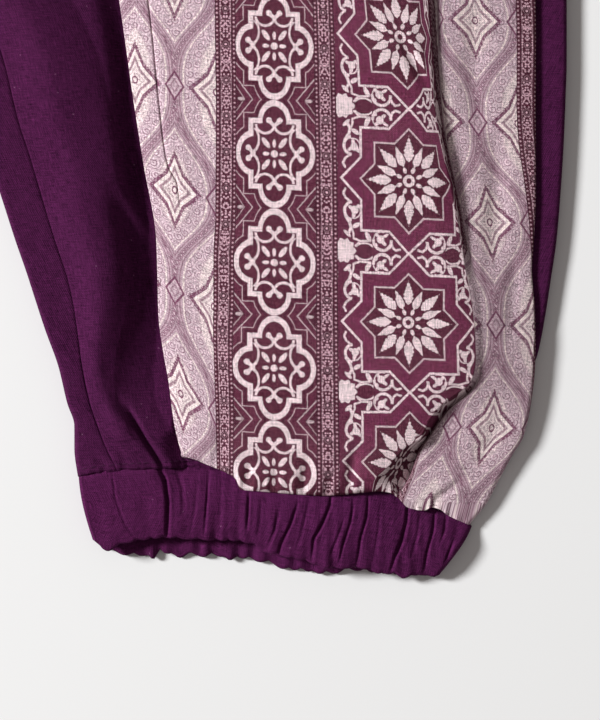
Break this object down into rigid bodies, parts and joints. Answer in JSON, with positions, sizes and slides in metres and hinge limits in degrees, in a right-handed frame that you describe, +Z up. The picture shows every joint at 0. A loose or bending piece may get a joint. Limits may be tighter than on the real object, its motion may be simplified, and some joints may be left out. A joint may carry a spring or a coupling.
{
  "type": "harem pants",
  "caption": "Harem pants laid flat on their back, with plain inner panels, printed outer panels and gathered elastic cuffs and waistband.",
  "frame": {"origin": "on the surface that the garment lies on, under the middle of its bounding box", "axes": "+X towards the wearer's left leg as seen from above, +Y from the cuffs to the waist, +Z up from the surface through the front of the garment"},
  "size_m": [0.5702, 0.9, 0.0167],
  "materials": {
    "plum_cloth": "matte plain-weave cotton",
    "printed_cloth": "matte plain-weave cotton with an all-over print"
  },
  "bodies": {
    "root": {"back_right": "plum_cloth", "back_left": "plum_cloth", "front_right": "plum_cloth", "front_left": "plum_cloth", "print_panel_right": "printed_cloth", "print_panel_left": "printed_cloth", "cuff_right": "plum_cloth", "cuff_left": "plum_cloth", "waistband": "plum_cloth"}
  },
  "joints": []
}
